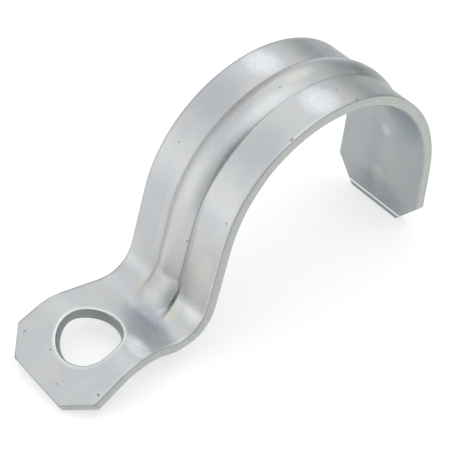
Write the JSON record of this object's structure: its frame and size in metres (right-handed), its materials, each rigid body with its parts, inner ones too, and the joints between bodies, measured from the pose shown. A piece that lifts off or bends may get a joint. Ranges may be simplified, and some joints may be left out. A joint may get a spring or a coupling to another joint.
{
  "type": "one-hole conduit strap",
  "caption": "Folded steel pipe strap: a toe and heel with a fixing hole, a leg, an arch stiffened by a pressed bead, and a short hooked tail.",
  "frame": {"origin": "on the axis of the held pipe, at the middle of the strap's width", "axes": "+Y along the pipe, +Z away from the wall, -X towards the foot with the fixing hole"},
  "size_m": [0.1063, 0.0294, 0.0539],
  "materials": {
    "zinc_plate": "satin bright zinc plate on pressed steel"
  },
  "bodies": {
    "root": {"strap": "zinc_plate"}
  },
  "joints": []
}
